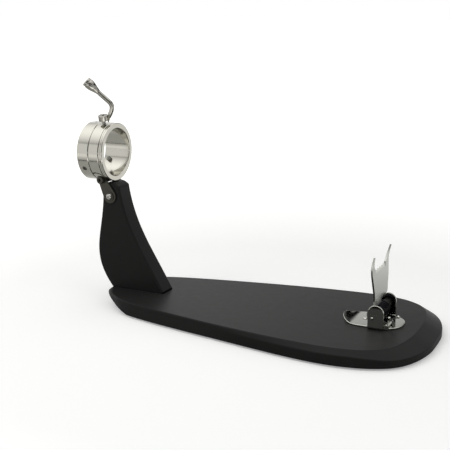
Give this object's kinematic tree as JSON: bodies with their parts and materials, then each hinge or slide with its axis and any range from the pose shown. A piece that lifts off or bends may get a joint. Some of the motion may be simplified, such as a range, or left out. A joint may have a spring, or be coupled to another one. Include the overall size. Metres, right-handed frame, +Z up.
{
  "type": "ham holder stand",
  "caption": "Carving stand for a whole ham: a teardrop board, a curved post with a tilting, turning steel ring, and a folding spiked plate on a sprung hinge.",
  "frame": {"origin": "middle of the stand's footprint box, on the surface that it stands on", "axes": "+X along the board from the post to the spiked plate, +Y across the board, +Z up"},
  "size_m": [0.6384, 0.3068, 0.4079],
  "materials": {
    "lacquer": "black satin lacquer",
    "rubber": "matt",
    "satin_steel": "satin",
    "polished_steel": "polished",
    "dark_steel": "dark satin",
    "zinc": "plain",
    "spring_steel": "blued",
    "nylon": "matt",
    "beech": "plain"
  },
  "bodies": {
    "stand": {"base_board": "lacquer", "rubber_foot_1": "rubber", "foot_screw_1": "zinc", "rubber_foot_2": "rubber", "foot_screw_2": "zinc", "rubber_foot_3": "rubber", "foot_screw_3": "zinc", "rubber_foot_4": "rubber", "foot_screw_4": "zinc", "post": "lacquer", "post_screw_1": "zinc", "post_screw_2": "zinc", "post_dowel_1": "beech", "post_dowel_2": "beech", "tilt_screw_near": "satin_steel", "tilt_washer_near": "satin_steel", "tilt_screw_far": "satin_steel", "tilt_washer_far": "satin_steel", "rear_plate": "polished_steel", "plate_screw_1": "polished_steel", "plate_screw_2": "polished_steel", "plate_screw_3": "polished_steel", "pivot_pin": "polished_steel", "fold_spring": "spring_steel", "spring_bush": "nylon", "release_pin": "polished_steel", "release_spring": "spring_steel"},
    "head": {"link_near": "dark_steel", "link_far": "dark_steel", "ring_housing": "satin_steel", "lug_bolt": "dark_steel", "lug_nut": "zinc"},
    "sleeve": {"ring_sleeve": "satin_steel", "ring_collar": "satin_steel"},
    "grip_1": {"grip_screw_1": "zinc"},
    "grip_2": {"grip_screw_2": "zinc"},
    "grip_3": {"grip_screw_3": "zinc"},
    "brake": {"brake_screw": "zinc", "brake_pad": "nylon", "lever_screw": "polished_steel", "lever": "polished_steel", "lever_knob": "polished_steel", "lever_knob_cap": "polished_steel"},
    "blade": {"spiked_plate": "satin_steel"},
    "release": {"release_lever": "polished_steel"}
  },
  "joints": [
    {"name": "head_tilt", "type": "hinge", "parent": "stand", "child": "head", "pos_m": [-0.2721, 0, 0.1975], "axis": [0, 1, 0], "range_deg": [-20, 20]},
    {"name": "ring_turn", "type": "hinge", "parent": "head", "child": "sleeve", "pos_m": [-0.2933, 0, 0.2752], "axis": [1, 0, 0], "continuous": true},
    {"name": "grip_screw_1_feed", "type": "slide", "parent": "sleeve", "child": "grip_1", "axis": [0, 0, 1], "range_m": [-0.004, 0.009]},
    {"name": "grip_screw_2_feed", "type": "slide", "parent": "sleeve", "child": "grip_2", "axis": [0, -0.866, -0.5], "range_m": [-0.004, 0.009]},
    {"name": "grip_screw_3_feed", "type": "slide", "parent": "sleeve", "child": "grip_3", "axis": [0, 0.866, -0.5], "range_m": [-0.004, 0.009]},
    {"name": "brake_turn", "type": "hinge", "parent": "head", "child": "brake", "pos_m": [-0.2855, -0.01237, 0.32879], "axis": [0, -0.225, 0.9744], "range_deg": [-60, 120]},
    {"name": "plate_fold", "type": "hinge", "parent": "stand", "child": "blade", "pos_m": [0.2223, 0, 0.0461], "axis": [0, 1, 0], "range_deg": [-90, 0], "stiffness_Nm_per_rad": 0.3, "springref_deg": 28.65},
    {"name": "release_press", "type": "hinge", "parent": "stand", "child": "release", "pos_m": [0.2446, -0.0234, 0.035], "axis": [0, 1, 0], "range_deg": [0, 12], "stiffness_Nm_per_rad": 0.02, "springref_deg": -17.19}
  ]
}
